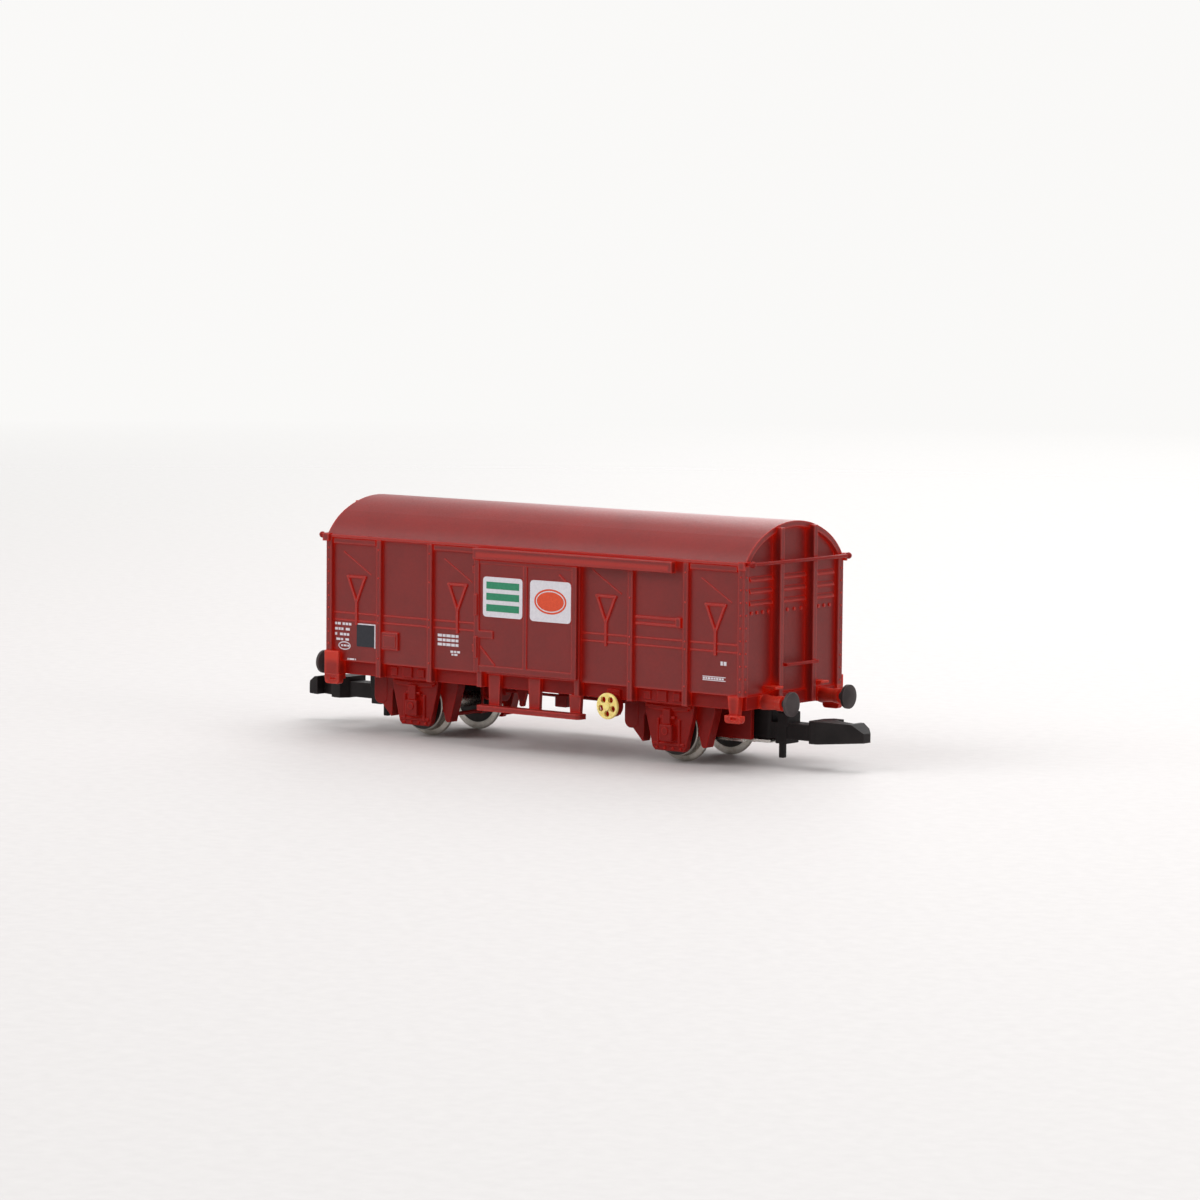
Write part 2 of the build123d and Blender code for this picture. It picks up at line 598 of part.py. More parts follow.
def buffer_head():
    """Domed round head on a stem that is pressed into the housing."""
    rim_r = 0.95
    dome_r = 3.0
    stem = rod_x(21.6, 23.5, 0, 0, 0.3)
    back = Pos(23.5, 0, 0) * Rot(0, 90, 0) * Cone(0.45, rim_r, 0.3)
    rim = rod_x(23.65, BUFFER_FACE_X, 0, 0, rim_r)
    dome = Pos(BUFFER_FACE_X - dome_r, 0, 0) * Sphere(dome_r)
    head = joined([stem, back, rim & dome])
    return Pos(0, -BUFFER_Y, BUFFER_Z) * head


# ---- handwheel ----
WHEEL_X = 8.3
WHEEL_Z = 4.3


def handwheel_bracket():
    """Bearing bracket and spindle of the near handwheel."""
    plate = near(WHEEL_X - 0.6, WHEEL_X + 0.6, 5.9, 6.12, WHEEL_Z - 0.7, 5.55)
    drum = rod_y(WHEEL_X, -6.62, -6.0, WHEEL_Z, 0.9)
    spindle = rod_y(WHEEL_X, -6.96, -6.5, WHEEL_Z, 0.16)
    return joined([plate, drum, spindle])


def handwheel():
    """Round handwheel with five round openings and a hub closed on the outside."""
    disc = rod_y(WHEEL_X, -6.98, -6.72, WHEEL_Z, 1.04)
    disc = fillet(disc.edges(), 0.08)
    hub = rod_y(WHEEL_X, -7.1, -6.68, WHEEL_Z, 0.32)
    wheel = disc + hub
    for k in range(5):
        angle = math.radians(72 * k - 90)
        x = WHEEL_X + 0.61 * math.cos(angle)
        z = WHEEL_Z + 0.61 * math.sin(angle)
        wheel -= rod_y(x, -8, -6, z, 0.25)
    return wheel - rod_y(WHEEL_X, -6.99, -6, WHEEL_Z, 0.19)


# ---- couplers ----
def coupler_head():
    """Claw head: its near flank runs slantwise to the tip and a throat is cut in from the far side."""
    outline = polygon([(23.6, -1.2), (23.85, -1.5), (24.5, -1.5), (27.8, 0.2), (27.8, 1.1), (27.4, 1.5),
                       (26.6, 1.5), (26.6, 0.55), (25.0, 0.55), (25.0, 1.5), (24.1, 1.5), (23.6, 0.8)])
    top = COUPLER_Z + 1.75
    head = extrude(Plane.XY.offset(COUPLER_Z) * outline, amount=top - COUPLER_Z)
    nose = polygon([(24.8, top + 1), (28.0, top + 1), (28.0, top - 1), (26.9, top - 0.14), (24.8, top)])
    ramp = polygon([(24.6, COUPLER_Z), (28.0, COUPLER_Z + 0.2), (28.0, 1.0), (24.6, 1.0)])
    for cut in (nose, ramp):
        head -= extrude(Plane.XZ.offset(-3) * cut, amount=6)
    return head


def coupler():
    """Front coupler: pivot eye, shank, stop block, claw head and dropper pin."""
    eye = rod_z(PIVOT_X, 0, COUPLER_Z, 3.6, 1.05)
    shank = block(PIVOT_X, 24.0, -0.75, 0.75, COUPLER_Z + 0.1, 3.45)
    body = block(17.3, 19.7, -0.85, 0.85, COUPLER_Z, 4.5)
    body = fillet(body.edges().filter_by(Axis.Z), 0.3)
    socket = soft_block(20.15, 21.2, -0.85, 0.85, 1.8, 3.5, 0.06)
    top = soft_block(20.35, 21.35, -0.85, 0.85, 3.2, 4.27, 0.08)
    pin = soft_block(20.48, 20.94, -0.84, -0.38, 0.7, 3.0, 0.08)
    whole = joined([eye, shank, body, socket, top, pin, coupler_head()])
    flat = block(PIVOT_X - 2, PIVOT_X - 0.85, -2, 2, 0, 6)
    return whole - rod_z(PIVOT_X, 0, 0, 6, 0.52) - flat


def coupler_keeper():
    """Sheet metal strip that closes the pocket from below and carries the shank."""
    strip_plate = block(14.45, 19.8, -1.1, 1.1, 1.82, 2.04)
    strip_plate = fillet(strip_plate.edges().filter_by(Axis.Z), 0.3)
    tabs = [block(14.45, 17.8, side * 1.72 - 0.16, side * 1.72 + 0.16, 1.82, 2.04) for side in (-1, 1)]
    bridge = block(14.6, 17.6, -1.8, 1.8, 1.82, 2.04)
    return joined([strip_plate, bridge] + tabs)


def coupler_spring():
    """Bowed leaf spring behind the pivot eye, which centres the coupler."""
    outer = ThreePointArc((14.76, -1.3), (15.2, 0), (14.76, 1.3))
    inner = ThreePointArc((14.76, 1.1), (15.05, 0), (14.76, -1.1))
    far_end = Line((14.76, 1.3), (14.76, 1.1))
    near_end = Line((14.76, -1.1), (14.76, -1.3))
    outline = make_face(outer + far_end + inner + near_end)
    return extrude(Plane.XY.offset(2.3) * outline, amount=1.2)


# ---- wheelsets ----
def wheel():
    """Near wheel, turned about the axle line: flange inside, tread and dished web outside."""
    inner = -WHEEL_IN_Y
    outer = -WHEEL_OUT_Y
    hub_r = 0.75
    bore = 0.5
    outline = [(bore, inner), (FLANGE_R - 0.08, inner), (FLANGE_R, inner - 0.1),
               (FLANGE_R - 0.06, inner - 0.26), (TREAD_R + 0.04, inner - 0.36),
               (TREAD_R, outer + 0.08), (TREAD_R - 0.08, outer),
               (TREAD_R - 0.42, outer), (TREAD_R - 0.5, outer + 0.25), (hub_r + 0.1, outer + 0.3),
               (hub_r, outer + 0.05), (bore, outer + 0.05)]
    section = make_face(Plane.XY * Polyline(*outline, close=True))
    return revolve(section, Axis.Y)


def axle():
    """Steel axle with a reduced seat for each wheel and a journal at each end."""
    middle = Rot(90, 0, 0) * Cylinder(0.6, 2 * WHEEL_IN_Y)
    seats = Rot(90, 0, 0) * Cylinder(0.4, 2 * WHEEL_OUT_Y)
    journals = Rot(90, 0, 0) * Cylinder(0.3, 9.6)
    shape = joined([middle, seats, journals])
    tips = shape.faces().filter_by(GeomType.PLANE).sort_by(Axis.Y)
    return chamfer(tips[0].edges() + tips[-1].edges(), 0.12)


def wheel_bush():
    """Insulating bush between the axle seat and a wheel's bore."""
    ring = rod_y(0, -WHEEL_OUT_Y + 0.05, -WHEEL_IN_Y, 0, 0.5)
    return ring - rod_y(0, -5, -2, 0, 0.4)


# ---- write one STEP file per named piece ----
def save(name, shape):
    export_step(shape, "parts/" + name + ".step")


def save_group(name, solids):
    save(name, Compound(children=[Solid(s.solid().wrapped) for s in solids]))


def write_pair(name, shape, first, second):
    save(name + "_" + first, shape)
    save(name + "_" + second, turned(shape))


def write_wheelset(end, x):
    place = Pos(x, 0, AXLE_Z)
    save("axle_" + end, place * axle())
    save("wheel_" + end + "_near", place * wheel())
    save("wheel_" + end + "_far", place * mirrored_y(wheel()))
    save("wheel_bush_" + end + "_near", place * wheel_bush())
    save("wheel_bush_" + end + "_far", place * mirrored_y(wheel_bush()))


def main():
    roof_shape = roof()
    save("roof", roof_shape)
    save("body_shell", body_shell(roof_shape))
    save("chassis_frame", chassis_frame())
    save("ballast_weight", ballast_weight())
    save("load_floor", load_floor())
    write_pair("door", door(), "near", "far")
    write_pair("door_rail", door_rail(), "near", "far")
    write_pair("step_board", step_board(), "near", "far")
    write_pair("handwheel", handwheel(), "near", "far")
    write_pair("handwheel_bracket", handwheel_bracket(), "near", "far")
    write_pair("end_handrail", end_handrail(), "front", "rear")
    write_pair("end_grab", end_grab(), "front", "rear")
    write_pair("coupler", coupler(), "front", "rear")
    write_pair("coupler_keeper", coupler_keeper(), "front", "rear")
    write_pair("coupler_spring", coupler_spring(), "front", "rear")
    for end, x in (("front", AXLE_X), ("rear", -AXLE_X)):
        guard = axle_guard()
        save("axle_guard_" + end + "_near", Pos(x, 0, 0) * guard)
        save("axle_guard_" + end + "_far", Pos(x, 0, 0) * mirrored_y(guard))
        save_group("brake_shoes_" + end, [Pos(x, 0, 0) * s for s in brake_shoes()])
        write_wheelset(end, x)
    write_pair("brake_beam", brake_beam(), "front", "rear")
    save("brake_cylinder", brake_cylinder())
    save("brake_valve", brake_valve())
    save_group("brake_v_hangers", [v_hanger(), mirrored_y(v_hanger())])
    save_group("brake_rods", brake_rods())
    save_group("corner_steps", corner_steps())
    save_group("buffer_treads", four_corners(buffer_tread()))
    save_group("buffer_housings", four_corners(buffer_housing()))
    head = buffer_head()
    save("buffer_head_front_near", head)
    save("buffer_head_front_far", mirrored_y(head))
    save("buffer_head_rear_far", turned(head))
    save("buffer_head_rear_near", turned(mirrored_y(head)))


main()
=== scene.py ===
import json
import math

import bmesh
import bpy
from mathutils import Matrix, Vector


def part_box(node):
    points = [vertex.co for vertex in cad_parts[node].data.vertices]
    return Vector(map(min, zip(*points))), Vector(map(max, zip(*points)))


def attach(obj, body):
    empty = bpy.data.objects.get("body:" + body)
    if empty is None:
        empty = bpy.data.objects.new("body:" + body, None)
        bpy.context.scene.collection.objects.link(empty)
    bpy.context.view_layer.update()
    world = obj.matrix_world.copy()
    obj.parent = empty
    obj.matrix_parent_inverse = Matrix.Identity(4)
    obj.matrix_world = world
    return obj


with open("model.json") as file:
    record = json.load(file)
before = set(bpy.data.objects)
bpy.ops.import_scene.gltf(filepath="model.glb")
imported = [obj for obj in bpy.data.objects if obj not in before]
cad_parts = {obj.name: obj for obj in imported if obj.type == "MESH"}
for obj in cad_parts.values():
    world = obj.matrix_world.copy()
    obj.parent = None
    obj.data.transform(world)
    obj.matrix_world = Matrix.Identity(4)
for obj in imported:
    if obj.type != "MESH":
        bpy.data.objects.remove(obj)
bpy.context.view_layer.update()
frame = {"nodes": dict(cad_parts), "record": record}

# A Z gauge two-axle covered goods wagon in dark red plastic.
# Lengths are metres; MM turns millimetres into them.
MM = 0.001

# ---- camera and light ----
CAMERA_PLACE = Vector((237.83, -302.37, 45.94)) * MM
CAMERA_YAW = math.radians(37.94)
CAMERA_PITCH = math.radians(5.088)
CAMERA_ROLL = math.radians(0.53)
SENSOR = 36.0
LENS = 144.39


def make_camera():
    """The camera looks along -X and +Y, a little downwards, with a slight roll."""
    forward = Vector((-math.sin(CAMERA_YAW) * math.cos(CAMERA_PITCH),
                      math.cos(CAMERA_YAW) * math.cos(CAMERA_PITCH),
                      -math.sin(CAMERA_PITCH)))
    level = Vector((math.cos(CAMERA_YAW), math.sin(CAMERA_YAW), 0))
    upright = level.cross(forward)
    right = level * math.cos(CAMERA_ROLL) + upright * math.sin(CAMERA_ROLL)
    up = upright * math.cos(CAMERA_ROLL) - level * math.sin(CAMERA_ROLL)
    data = bpy.data.cameras.new("camera")
    data.lens = LENS
    data.sensor_width = SENSOR
    data.clip_start = 0.01
    data.clip_end = 50
    camera = bpy.data.objects.new("camera", data)
    camera.matrix_world = Matrix((
        (right.x, up.x, -forward.x, CAMERA_PLACE.x),
        (right.y, up.y, -forward.y, CAMERA_PLACE.y),
        (right.z, up.z, -forward.z, CAMERA_PLACE.z),
        (0, 0, 0, 1)))
    bpy.context.scene.collection.objects.link(camera)
    bpy.context.scene.camera = camera


WAGON_MIDDLE = Vector((0, 0, 0.01))
# name, place, size in metres and power in watts
SOFTBOXES = (
    ("key", (-0.22, -0.36, 0.34), 0.34, 1.45),
    ("top", (0.05, 0.12, 0.50), 0.45, 2.0),
    ("back", (-0.15, 0.45, 0.22), 0.40, 1.1),
    ("end", (0.50, 0.05, 0.20), 0.30, 0.5),
)


def softbox(name, place, size, power):
    """A square soft light that faces the wagon."""
    data = bpy.data.lights.new(name, "AREA")
    data.shape = "SQUARE"
    data.size = size
    data.energy = power
    light = bpy.data.objects.new(name, data)
    light.location = place
    aim = WAGON_MIDDLE - Vector(place)
    light.rotation_euler = aim.to_track_quat("-Z", "Y").to_euler()
    bpy.context.scene.collection.objects.link(light)


BACKGROUND = (0.955, 0.948, 0.935)
ROOM_LIGHT = (1.0, 0.99, 0.975)
AMBIENT = 0.46


def make_world():
    """A white room: pale as the camera sees it, and dimmer as a light on the wagon."""
    world = bpy.data.worlds.new("studio")
    bpy.context.scene.world = world
    world.use_nodes = True
    nodes = world.node_tree.nodes
    links = world.node_tree.links
    nodes.clear()
    seen = nodes.new("ShaderNodeBackground")
    seen.inputs["Color"].default_value = (*BACKGROUND, 1)
    seen.inputs["Strength"].default_value = 1.0
    room = nodes.new("ShaderNodeBackground")
    room.inputs["Color"].default_value = (*ROOM_LIGHT, 1)
    room.inputs["Strength"].default_value = AMBIENT
    path = nodes.new("ShaderNodeLightPath")
    mix = nodes.new("ShaderNodeMixShader")
    out = nodes.new("ShaderNodeOutputWorld")
    links.new(path.outputs["Is Camera Ray"], mix.inputs[0])
    links.new(room.outputs[0], mix.inputs[1])
    links.new(seen.outputs[0], mix.inputs[2])
    links.new(mix.outputs[0], out.inputs["Surface"])


# ---- shader helpers ----
class Nodes:
    """Adds and links the nodes of one material."""

    def __init__(self, name):
        self.material = bpy.data.materials.new(name)
        self.material.use_nodes = True
        self.tree = self.material.node_tree
        self.shader = self.tree.nodes["Principled BSDF"]

    def add(self, kind, **settings):
        node = self.tree.nodes.new(kind)
        for key, value in settings.items():
            setattr(node, key, value)
        return node

    def link(self, source, target):
        self.tree.links.new(source, target)

    def set(self, **values):
        for key, value in values.items():
            self.shader.inputs[key.replace("_", " ")].default_value = value

    def millimetres(self, stretch=(1, 1, 1)):
        """Object coordinates in millimetres, squeezed along an axis where stretch is above 1."""
        place = self.add("ShaderNodeTexCoord")
        mapping = self.add("ShaderNodeMapping")
        mapping.inputs["Scale"].default_value = [1000 / s for s in stretch]
        self.link(place.outputs["Object"], mapping.inputs["Vector"])
        return mapping.outputs["Vector"]

    def noise(self, vector, per_mm, detail=2.0, roughness=0.55, distortion=0.0):
        node = self.add("ShaderNodeTexNoise")
        node.inputs["Scale"].default_value = per_mm
        node.inputs["Detail"].default_value = detail
        node.inputs["Roughness"].default_value = roughness
        node.inputs["Distortion"].default_value = distortion
        self.link(vector, node.inputs["Vector"])
        return node.outputs["Fac"]

    def remap(self, value, low, high, to_low=0.0, to_high=1.0):
        node = self.add("ShaderNodeMapRange")
        node.inputs["From Min"].default_value = low
        node.inputs["From Max"].default_value = high
        node.inputs["To Min"].default_value = to_low
        node.inputs["To Max"].default_value = to_high
        self.link(value, node.inputs["Value"])
        return node.outputs["Result"]

    def blend(self, factor, first, second):
        """Colour from first to second; each is a colour or a socket."""
        node = self.add("ShaderNodeMix", data_type="RGBA")
        self.link(factor, node.inputs["Factor"])
        for socket, value in ((node.inputs[6], first), (node.inputs[7], second)):
            if isinstance(value, tuple):
                socket.default_value = (*value, 1)
            else:
                self.link(value, socket)
        return node.outputs[2]

    def maths(self, operation, first, second):
        node = self.add("ShaderNodeMath", operation=operation)
        for socket, value in zip(node.inputs, (first, second)):
            if isinstance(value, (int, float)):
                socket.default_value = value
            else:
                self.link(value, socket)
        return node.outputs[0]

    def occlusion(self, distance_mm, inside, samples=6):
        node = self.add("ShaderNodeAmbientOcclusion", samples=samples, inside=inside,
                        only_local=inside)
        node.inputs["Distance"].default_value = distance_mm * MM
        return node.outputs["AO"]

    def bump(self, height, depth_mm, strength=1.0, normal=None):
        node = self.add("ShaderNodeBump")
        node.inputs["Strength"].default_value = strength
        node.inputs["Distance"].default_value = depth_mm * MM
        self.link(height, node.inputs["Height"])
        if normal is not None:
            self.link(normal, node.inputs["Normal"])
        return node.outputs["Normal"]

    def rounded(self, radius_mm, samples=4):
        node = self.add("ShaderNodeBevel", samples=samples)
        node.inputs["Radius"].default_value = radius_mm * MM
        return node.outputs["Normal"]


# Colour of a painted red glow: an emission in corners and crevices that stands in for light coming
# through the plastic.
PAINTED_LEAK_GLOW_RED = (1.0, 0.022, 0.004)


def plastic(name, base, painted_glow, painted_crevice, roughness=0.42, subsurface=0.35, thin_mm=0.3,
            grain_mm=0.004, gloss=0.5, painted_glow_strength=0.16):
    """Moulded, slightly translucent plastic: thin walls and edges pass light and look brighter.

    base is the colour of thick walls, painted_glow the painted glow of thin ones, and painted_crevice
    the painted shade and bounce light of corners.
    painted_glow_strength is the strength of a painted red glow, an emission that stands in for light
    coming through from behind in corners and crevices.
    """
    n = Nodes(name)
    mm = n.millimetres()
    cloud = n.noise(mm, 0.3, 4)
    mottle = n.noise(mm, 3.2, 3, 0.7)
    grain = n.noise(mm, 7.0, 4, 0.65)
    flow = n.noise(n.millimetres((1, 1, 12)), 4.5, 2)
    # Painted glow: inside occlusion marks thin walls and edges, which are painted in the lighter glow
    # colour.
    painted_glow_mask = n.occlusion(thin_mm, True)
    # Painted shade: outside occlusion marks corners and crevices, which get the painted crevice
    # colour, a lower specular level and a painted red glow.
    painted_crevice_mask = n.occlusion(0.8, False)
    deep = tuple(c * 0.82 for c in base)
    tone = n.maths("ADD", n.maths("MULTIPLY", cloud, 0.6), n.maths("MULTIPLY", mottle, 0.4))
    colour = n.blend(n.remap(tone, 0.38, 0.62), deep, base)
    colour = n.blend(n.remap(painted_glow_mask, 0.35, 0.95), painted_glow, colour)
    colour = n.blend(n.remap(painted_crevice_mask, 0.2, 0.85), painted_crevice, colour)
    n.link(colour, n.shader.inputs["Base Color"])
    n.link(n.remap(painted_crevice_mask, 0.3, 0.9, gloss * 0.35, gloss), n.shader.inputs["Specular IOR Level"])
    n.link(n.remap(grain, 0.3, 0.7, roughness - 0.05, roughness + 0.07), n.shader.inputs["Roughness"])
    # Painted glow: a red emission in corners and crevices, though the plastic is no lamp.
    n.set(Emission_Color=(*PAINTED_LEAK_GLOW_RED, 1))
    n.link(n.remap(painted_crevice_mask, 0.3, 0.78, painted_glow_strength, 0.0), n.shader.inputs["Emission Strength"])
    surface = n.maths("ADD", grain, n.maths("MULTIPLY", flow, 0.35))
    n.link(n.bump(surface, grain_mm, 0.8, n.rounded(0.05)), n.shader.inputs["Normal"])
    n.shader.inputs["Subsurface Weight"].default_value = subsurface
    n.shader.inputs["Subsurface Radius"].default_value = (1.0, 0.08, 0.04)
    n.shader.inputs["Subsurface Scale"].default_value = 0.4 * MM
    n.set(IOR=1.5)
    return n.material


def black_plastic(name, shade=0.008):
    """Dull black plastic; shade is the brightness of its darker patches."""
    n = Nodes(name)
    mm = n.millimetres()
    grain = n.noise(mm, 10.0, 4, 0.65)
    cloud = n.noise(mm, 0.5, 3)
    # Thin edges come out lighter, at five times the brightness of the darker patches.
    thin_edge_mask = n.occlusion(0.12, True)
    low, high, edge = (tuple(shade * step * c for c in (1, 0.78, 0.79)) for step in (1, 1.75, 5))
    colour = n.blend(n.remap(thin_edge_mask, 0.3, 0.8), edge, n.blend(n.remap(cloud, 0.35, 0.65), low, high))
    n.link(colour, n.shader.inputs["Base Color"])
    n.link(n.remap(grain, 0.3, 0.7, 0.46, 0.62), n.shader.inputs["Roughness"])
    n.link(n.bump(grain, 0.006, 0.9, n.rounded(0.07)), n.shader.inputs["Normal"])
    n.shader.inputs["Specular IOR Level"].default_value = 0.2
    return n.material


def yellow_plastic():
    n = Nodes("yellow_plastic")
    mm = n.millimetres()
    grain = n.noise(mm, 9.0, 4, 0.6)
    cloud = n.noise(mm, 1.2, 3)
    # Painted glow: thin parts are painted a lighter yellow, as if light passed through them.
    painted_glow_mask = n.occlusion(0.3, True)
    colour = n.blend(n.remap(cloud, 0.35, 0.65), (0.62, 0.40, 0.055), (0.80, 0.58, 0.12))
    colour = n.blend(n.remap(painted_glow_mask, 0.3, 0.9), (0.95, 0.78, 0.28), colour)
    n.link(colour, n.shader.inputs["Base Color"])
    n.link(n.remap(grain, 0.3, 0.7, 0.36, 0.5), n.shader.inputs["Roughness"])
    n.link(n.bump(grain, 0.004, 0.8, n.rounded(0.04)), n.shader.inputs["Normal"])
    n.shader.inputs["Subsurface Weight"].default_value = 0.25
    n.shader.inputs["Subsurface Radius"].default_value = (1.0, 0.6, 0.15)
    n.shader.inputs["Subsurface Scale"].default_value = 0.2 * MM
    return n.material


def metal(name, low, high, roughness, grain_per_mm, stretch):
    """Bright metal with fine lines along the stretched axis."""
    n = Nodes(name)
    lines = n.noise(n.millimetres(stretch), grain_per_mm, 3, 0.7)
    cloud = n.noise(n.millimetres(), 0.9, 3)
    tone = n.maths("MULTIPLY", n.maths("ADD", lines, cloud), 0.5)
    n.link(n.blend(n.remap(tone, 0.3, 0.7), low, high), n.shader.inputs["Base Color"])
    n.link(n.remap(lines, 0.3, 0.7, roughness - 0.06, roughness + 0.08), n.shader.inputs["Roughness"])
    n.link(n.bump(lines, 0.003, 0.7, n.rounded(0.03)), n.shader.inputs["Normal"])
    n.set(Metallic=1.0)
    return n.material


FACE_RADIUS = 1.98
TREAD_RADIUS = 2.05


def wheel_metal(name, centre):
    """Turned wheel about an axle through centre: dark face and web, bright tread and flange."""
    n = Nodes(name)
    place = n.add("ShaderNodeTexCoord")
    offset = n.add("ShaderNodeVectorMath", operation="SUBTRACT")
    offset.inputs[1].default_value = centre
    n.link(place.outputs["Object"], offset.inputs[0])
    across = n.add("ShaderNodeVectorMath", operation="MULTIPLY")
    across.inputs[1].default_value = (1000, 0, 1000)
    n.link(offset.outputs[0], across.inputs[0])
    radius = n.add("ShaderNodeVectorMath", operation="LENGTH")
    n.link(across.outputs[0], radius.inputs[0])
    reach = radius.outputs["Value"]
    rings = n.add("ShaderNodeTexNoise", noise_dimensions="1D")
    rings.inputs["Scale"].default_value = 26.0
    rings.inputs["Detail"].default_value = 3.0
    n.link(reach, rings.inputs["W"])
    cloud = n.noise(n.millimetres(), 1.6, 3)
    bright = n.remap(reach, FACE_RADIUS, TREAD_RADIUS)
    dark = n.blend(n.remap(cloud, 0.35, 0.65), (0.016, 0.012, 0.011), (0.032, 0.024, 0.022))
    nickel = n.blend(n.remap(cloud, 0.3, 0.7), (0.46, 0.43, 0.38), (0.66, 0.63, 0.58))
    n.link(n.blend(bright, dark, nickel), n.shader.inputs["Base Color"])
    n.link(bright, n.shader.inputs["Metallic"])
    n.link(n.remap(bright, 0, 1, 0.5, 0.24), n.shader.inputs["Roughness"])
    n.link(n.bump(rings.outputs["Fac"], 0.004, 0.7, n.rounded(0.03)), n.shader.inputs["Normal"])
    return n.material


def ink(name, colour, speckle, roughness=0.5):
    """Printed ink: tiny tone changes from the pad, and a faint dot structure."""
    n = Nodes(name)
    mm = n.millimetres()
    pad = n.noise(mm, 5.0, 4, 0.7)
    dots = n.noise(mm, 22.0, 2)
    tone = n.maths("ADD", n.maths("MULTIPLY", pad, 0.6), n.maths("MULTIPLY", dots, 0.4))
    n.link(n.blend(n.remap(tone, 0.36, 0.64), speckle, colour), n.shader.inputs["Base Color"])
    n.link(n.remap(dots, 0.3, 0.7, roughness - 0.06, roughness + 0.06), n.shader.inputs["Roughness"])
    n.link(n.bump(tone, 0.002, 0.6), n.shader.inputs["Normal"])
    n.shader.inputs["Specular IOR Level"].default_value = 0.3
    return n.material


def plank_floor():
    n = Nodes("load_floor")
    mm = n.millimetres((1, 8, 1))
    streak = n.noise(mm, 3.0, 4, 0.6)
    grain = n.noise(n.millimetres(), 8.0, 3)
    n.link(n.blend(n.remap(streak, 0.3, 0.7), (0.10, 0.022, 0.014), (0.17, 0.045, 0.03)),
           n.shader.inputs["Base Color"])
    n.link(n.remap(grain, 0.3, 0.7, 0.5, 0.68), n.shader.inputs["Roughness"])
    n.link(n.bump(streak, 0.01, 0.8), n.shader.inputs["Normal"])
    return n.material


# ---- colours ----
PANEL_RED = (0.205, 0.0075, 0.0055)
ROOF_RED = (0.225, 0.0095, 0.0075)
CHASSIS_RED = (0.235, 0.0045, 0.0025)
# Painted light: a lighter copy of the red plastic for the corner steps and buffer parts, standing in
# for light through them from behind.
PAINTED_BACKLIT_STEP_RED = (0.30, 0.010, 0.005)
# Painted light: a lighter copy of the red plastic for the step boards, for how brightly they are lit.
PAINTED_LIT_BOARD_RED = (0.28, 0.012, 0.008)
# Painted glow colours of thin walls and edges, and the painted shade and bounce light colour of
# corners and crevices.
PAINTED_GLOW_RED = (0.46, 0.018, 0.009)
PAINTED_CREVICE_RED = (0.40, 0.0055, 0.0018)
CHASSIS_PAINTED_GLOW = (0.40, 0.010, 0.004)
STEP_PAINTED_GLOW = (0.52, 0.026, 0.010)


def make_materials():
    return {
        "body_red": plastic("body_red", PANEL_RED, PAINTED_GLOW_RED, PAINTED_CREVICE_RED, thin_mm=0.2),
        "roof_red": plastic("roof_red", ROOF_RED, PAINTED_GLOW_RED, PAINTED_CREVICE_RED,
                            0.40, 0.30, 0.2, 0.003, 0.55),
        "chassis_red": plastic("chassis_red", CHASSIS_RED, CHASSIS_PAINTED_GLOW, PAINTED_CREVICE_RED,
                               0.46, 0.45, 0.12, gloss=0.22, painted_glow_strength=0.05),
        "load_floor": plank_floor(),
        "yellow_wheel": yellow_plastic(),
        "black_plastic": black_plastic("black_plastic", 0.0105),
        "bush_black": black_plastic("bush_black"),
        "weight_steel": metal("weight_steel", (0.30, 0.30, 0.31), (0.44, 0.44, 0.45),
                              0.42, 4.0, (10, 1, 1)),
        "spring_steel": metal("spring_steel", (0.50, 0.48, 0.45), (0.66, 0.64, 0.60),
                              0.28, 6.0, (12, 1, 1)),
        "wheel_steel": metal("wheel_steel", (0.40, 0.38, 0.35), (0.62, 0.60, 0.56),
                             0.26, 6.0, (1, 1, 1)),
    }


def dress(name, material):
    node = frame["nodes"][name]
    node.data.materials.clear()
    node.data.materials.append(material)


def finish_cad_nodes(materials):
    """Each carried-over CAD node takes its slot's material; a few have a variant of their own."""
    for part in frame["record"]["subparts"]:
        dress(part["node"], materials[part["material_slot"]])
    door_red = plastic("door_red", PANEL_RED, PAINTED_GLOW_RED, PAINTED_CREVICE_RED, thin_mm=0.14)
    # Painted light: corner steps, buffer housings and buffer treads take a lighter copy of the red
    # plastic.
    painted_backlit_step_red = plastic("painted_backlit_step_red", PAINTED_BACKLIT_STEP_RED, STEP_PAINTED_GLOW, PAINTED_CREVICE_RED, 0.44, 0.45, 0.4, gloss=0.35)
    # Painted light: the step boards take a lighter copy of the red plastic.
    painted_lit_board_red = plastic("painted_lit_board_red", PAINTED_LIT_BOARD_RED, PAINTED_GLOW_RED, PAINTED_CREVICE_RED, 0.44, 0.45, 0.2, gloss=0.4)
    buffer_black = black_plastic("buffer_black", 0.036)
    for name in ("corner_steps", "buffer_housings", "buffer_treads"):
        dress(name, painted_backlit_step_red)
    for side in ("near", "far"):
        dress("door_" + side, door_red)
        dress("step_board_" + side, painted_lit_board_red)
    for end in ("front", "rear"):
        for side in ("near", "far"):
            dress("buffer_head_" + end + "_" + side, buffer_black)
        low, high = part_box("axle_" + end)
        centre = (Vector(low) + Vector(high)) / 2
        local = frame["nodes"]["wheel_" + end + "_near"].matrix_world.inverted() @ centre
        steel = wheel_metal("wheel_steel_" + end, local)
        for side in ("near", "far"):
            dress("wheel_" + end + "_" + side, steel)


